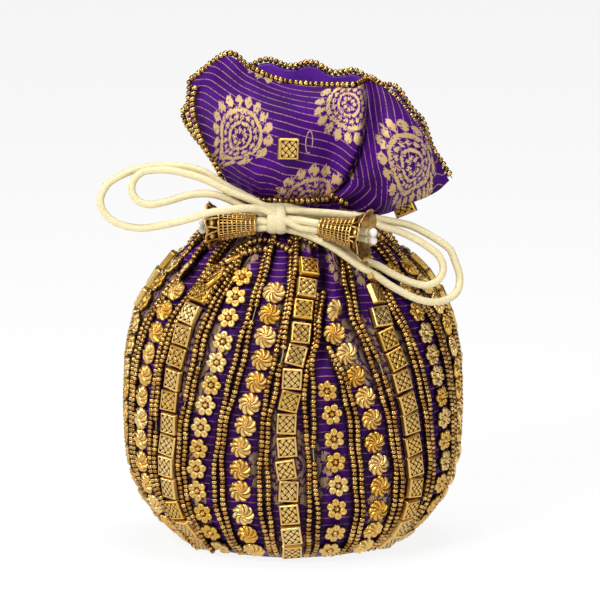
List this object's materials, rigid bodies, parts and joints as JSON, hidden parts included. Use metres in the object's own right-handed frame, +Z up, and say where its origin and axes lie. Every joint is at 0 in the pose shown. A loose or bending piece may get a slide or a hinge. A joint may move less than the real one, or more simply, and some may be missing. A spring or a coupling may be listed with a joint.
{
  "type": "potli bag",
  "caption": "Gathered drawstring pouch of violet brocade with rows of gold beads, a flared two-flap frill and a cream cord bow with filigree cone ends.",
  "frame": {"origin": "centre of the flat base, at the height of the surface it stands on", "axes": "+Z up along the bag, -Y to the front with the bow, +X to the right seen from the front"},
  "size_m": [0.1649, 0.1295, 0.2286],
  "materials": {
    "violet_brocade": "violet silk with woven gold paisleys and thin gold stripes, inside left plain",
    "antique_gold": "antique gold cast beads",
    "bronze_seed": "bronze metallic seed beads",
    "cream_satin": "cream satin cord",
    "filigree_gold": "antique gold filigree",
    "white_pearl": "white imitation pearl"
  },
  "bodies": {
    "bag": {"bag_shell": "violet_brocade", "strand_square_1": "antique_gold", "strand_square_2": "antique_gold", "strand_square_3": "antique_gold", "strand_square_4": "antique_gold", "strand_square_5": "antique_gold", "strand_square_6": "antique_gold", "strand_square_7": "antique_gold", "strand_flower_1": "antique_gold", "strand_flower_2": "antique_gold", "strand_flower_3": "antique_gold", "strand_flower_4": "antique_gold", "strand_flower_5": "antique_gold", "strand_flower_6": "antique_gold", "strand_flower_7": "antique_gold", "strand_swirl_1": "antique_gold", "strand_swirl_2": "antique_gold", "strand_swirl_3": "antique_gold", "strand_swirl_4": "antique_gold", "strand_swirl_5": "antique_gold", "strand_swirl_6": "antique_gold", "strand_swirl_7": "antique_gold", "seed_pair_1": "bronze_seed", "seed_pair_2": "bronze_seed", "seed_pair_3": "bronze_seed", "seed_pair_4": "bronze_seed", "seed_pair_5": "bronze_seed", "seed_pair_6": "bronze_seed", "seed_pair_7": "bronze_seed", "seed_pair_8": "bronze_seed", "seed_pair_9": "bronze_seed", "seed_pair_10": "bronze_seed", "seed_pair_11": "bronze_seed", "seed_pair_12": "bronze_seed", "seed_pair_13": "bronze_seed", "seed_pair_14": "bronze_seed", "seed_pair_15": "bronze_seed", "seed_pair_16": "bronze_seed", "seed_pair_17": "bronze_seed", "seed_pair_18": "bronze_seed", "seed_pair_19": "bronze_seed", "seed_pair_20": "bronze_seed", "seed_pair_21": "bronze_seed", "front_trim": "bronze_seed", "back_trim": "bronze_seed", "neck_string": "bronze_seed", "frill_square": "antique_gold", "edge_square": "antique_gold", "cord_knot": "cream_satin", "loop_left_outer": "cream_satin", "loop_left_inner": "cream_satin", "loop_right_outer": "cream_satin", "loop_right_inner": "cream_satin", "lead_left": "cream_satin", "lead_right": "cream_satin", "pearls_left": "white_pearl", "pearls_right": "white_pearl"},
    "left_cone": {"cone_left": "filigree_gold"},
    "right_cone": {"cone_right": "filigree_gold"}
  },
  "joints": [
    {"name": "left_cone_slide", "type": "slide", "parent": "bag", "child": "left_cone", "axis": [0.986, -0.1612, 0.0427], "range_m": [0, 0.003]},
    {"name": "right_cone_slide", "type": "slide", "parent": "bag", "child": "right_cone", "axis": [-0.9252, 0.3646, 0.1048], "range_m": [0, 0.007]}
  ]
}
